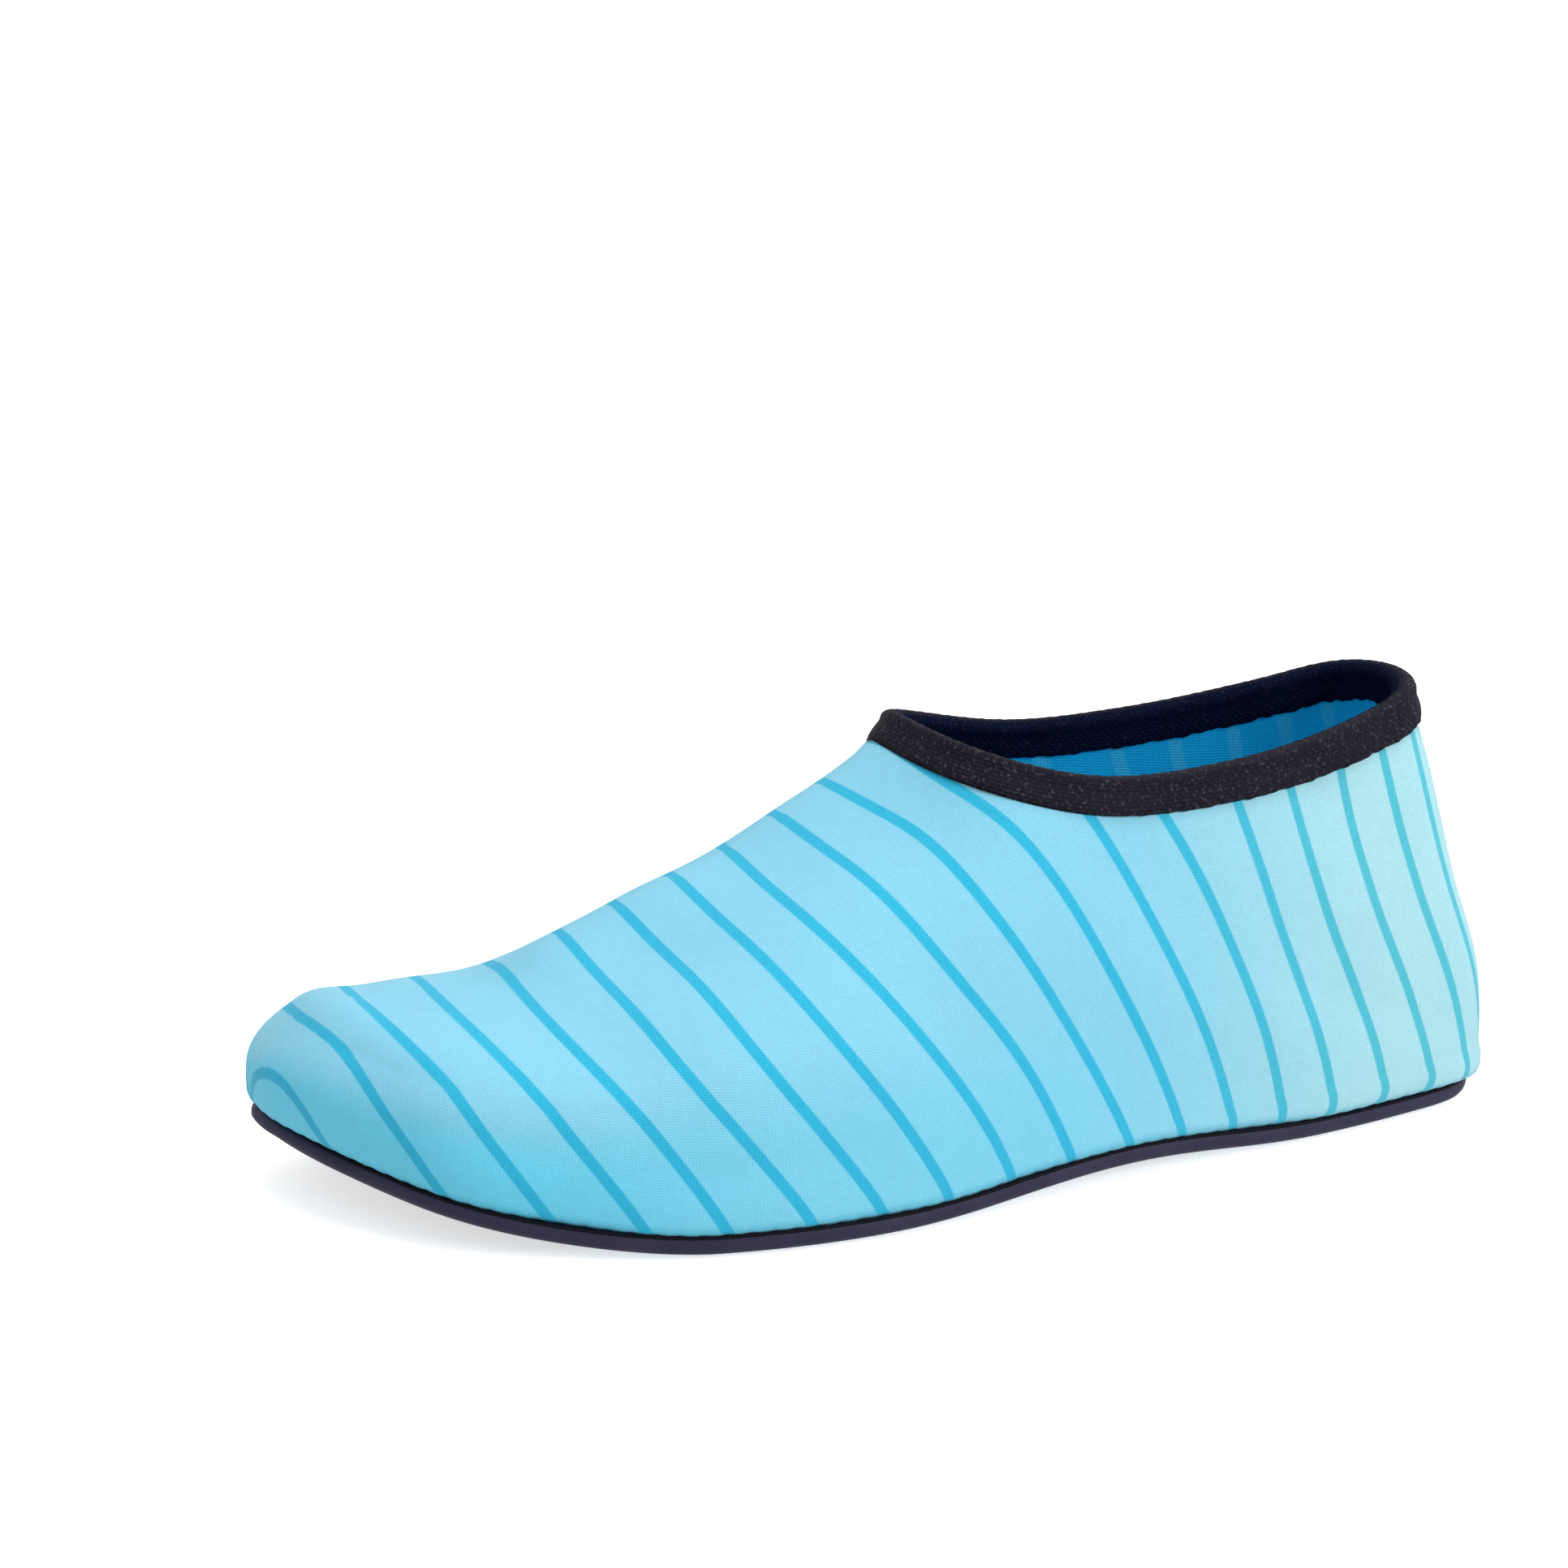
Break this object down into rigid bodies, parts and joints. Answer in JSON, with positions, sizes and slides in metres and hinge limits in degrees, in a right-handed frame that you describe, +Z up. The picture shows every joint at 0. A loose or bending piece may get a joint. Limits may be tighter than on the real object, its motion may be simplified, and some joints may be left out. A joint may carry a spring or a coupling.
{
  "type": "water shoe",
  "caption": "Slip-on water shoe for the left foot: striped aqua stretch-knit upper, black bound collar and a thin flexible dark sole with grip dots.",
  "frame": {"origin": "middle of the shoe's box, on the floor under the sole", "axes": "+X to the toe, +Y to the outer side of the left foot, +Z up"},
  "size_m": [0.2496, 0.091, 0.0873],
  "materials": {
    "aqua_knit": "matte fine knit with darker cyan stripes",
    "black_tape": "matte ribbed elastic tape",
    "dark_sole": "matte, with small clear grip dots underneath",
    "blue_lining": "matte"
  },
  "bodies": {
    "root": {"upper": "aqua_knit", "collar_binding": "black_tape", "outsole": "dark_sole", "insole": "blue_lining"}
  },
  "joints": []
}
